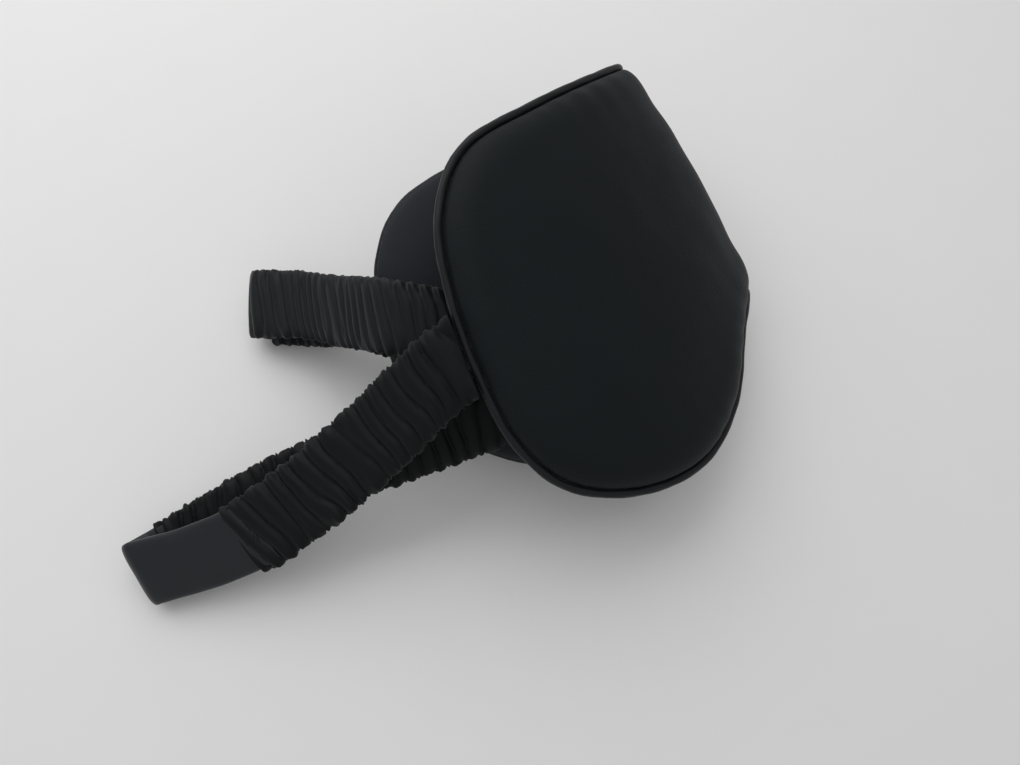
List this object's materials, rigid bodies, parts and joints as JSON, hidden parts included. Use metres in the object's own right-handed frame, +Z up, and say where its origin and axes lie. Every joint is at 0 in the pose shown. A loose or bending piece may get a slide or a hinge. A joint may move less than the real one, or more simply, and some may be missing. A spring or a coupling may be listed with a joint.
{
  "type": "sleep eye mask",
  "caption": "Padded satin sleep eye mask folded at the nose, piped all round, with a gathered elastic head strap ending in a smooth label sleeve.",
  "frame": {"origin": "middle of the part's footprint, on the surface it lies on", "axes": "+Z up from the surface; +X to the right and +Y away from the viewer, with the nose fold running from upper left to lower right and the strap lying towards -X"},
  "size_m": [0.1594, 0.154, 0.0673],
  "materials": {
    "black_satin": "black satin weave silk, softly glossy",
    "black_satin_piping": "black satin silk cut on the bias round a cord",
    "black_satin_casing": "black satin silk gathered over the elastic",
    "label_satin": "smooth black satin sleeve, closely woven",
    "padding_wadding": "soft undyed fibre wadding",
    "blackout_lining": "matt black woven lining",
    "woven_elastic": "flat black woven elastic",
    "black_thread": "black sewing thread"
  },
  "bodies": {
    "right_half": {"front_cover_right": "black_satin", "padding_right": "padding_wadding", "blackout_lining_right": "blackout_lining", "back_cover_right": "black_satin", "piping_right": "black_satin_piping", "strap_stitching_right": "black_thread"},
    "left_half": {"front_cover_left": "black_satin", "padding_left": "padding_wadding", "blackout_lining_left": "blackout_lining", "back_cover_left": "black_satin", "piping_left": "black_satin_piping", "strap_stitching_left": "black_thread", "tucked_run_casing": "black_satin_casing", "tucked_run_elastic": "woven_elastic"},
    "strap_right": {"outer_run_casing": "black_satin_casing", "outer_run_elastic": "woven_elastic", "return_run_casing": "black_satin_casing", "return_run_elastic": "woven_elastic"},
    "label_end": {"label_sleeve": "label_satin", "label_elastic": "woven_elastic", "label_stitching": "black_thread"},
    "strap_left": {"side_run_casing": "black_satin_casing", "side_run_elastic": "woven_elastic"}
  },
  "joints": [
    {"name": "nose_fold", "type": "hinge", "parent": "right_half", "child": "left_half", "pos_m": [0.05629, 0.05441, 0.02059], "axis": [0.6027, -0.7055, -0.3729], "range_deg": [0, 165]},
    {"name": "strap_right_swing", "type": "hinge", "parent": "right_half", "child": "strap_right", "pos_m": [0.00555, -0.01881, 0.05162], "axis": [-0.4655, 0.805, 0.3679], "range_deg": [0, 80]},
    {"name": "strap_stretch", "type": "slide", "parent": "strap_right", "child": "label_end", "axis": [-0.83, -0.5578, 0], "range_m": [0, 0.04], "stiffness_N_per_m": 40},
    {"name": "strap_left_swing", "type": "hinge", "parent": "left_half", "child": "strap_left", "pos_m": [-0.01869, -0.00246, 0.02711], "axis": [-0.321, 0.8602, 0.3961], "range_deg": [-8, 10]}
  ]
}
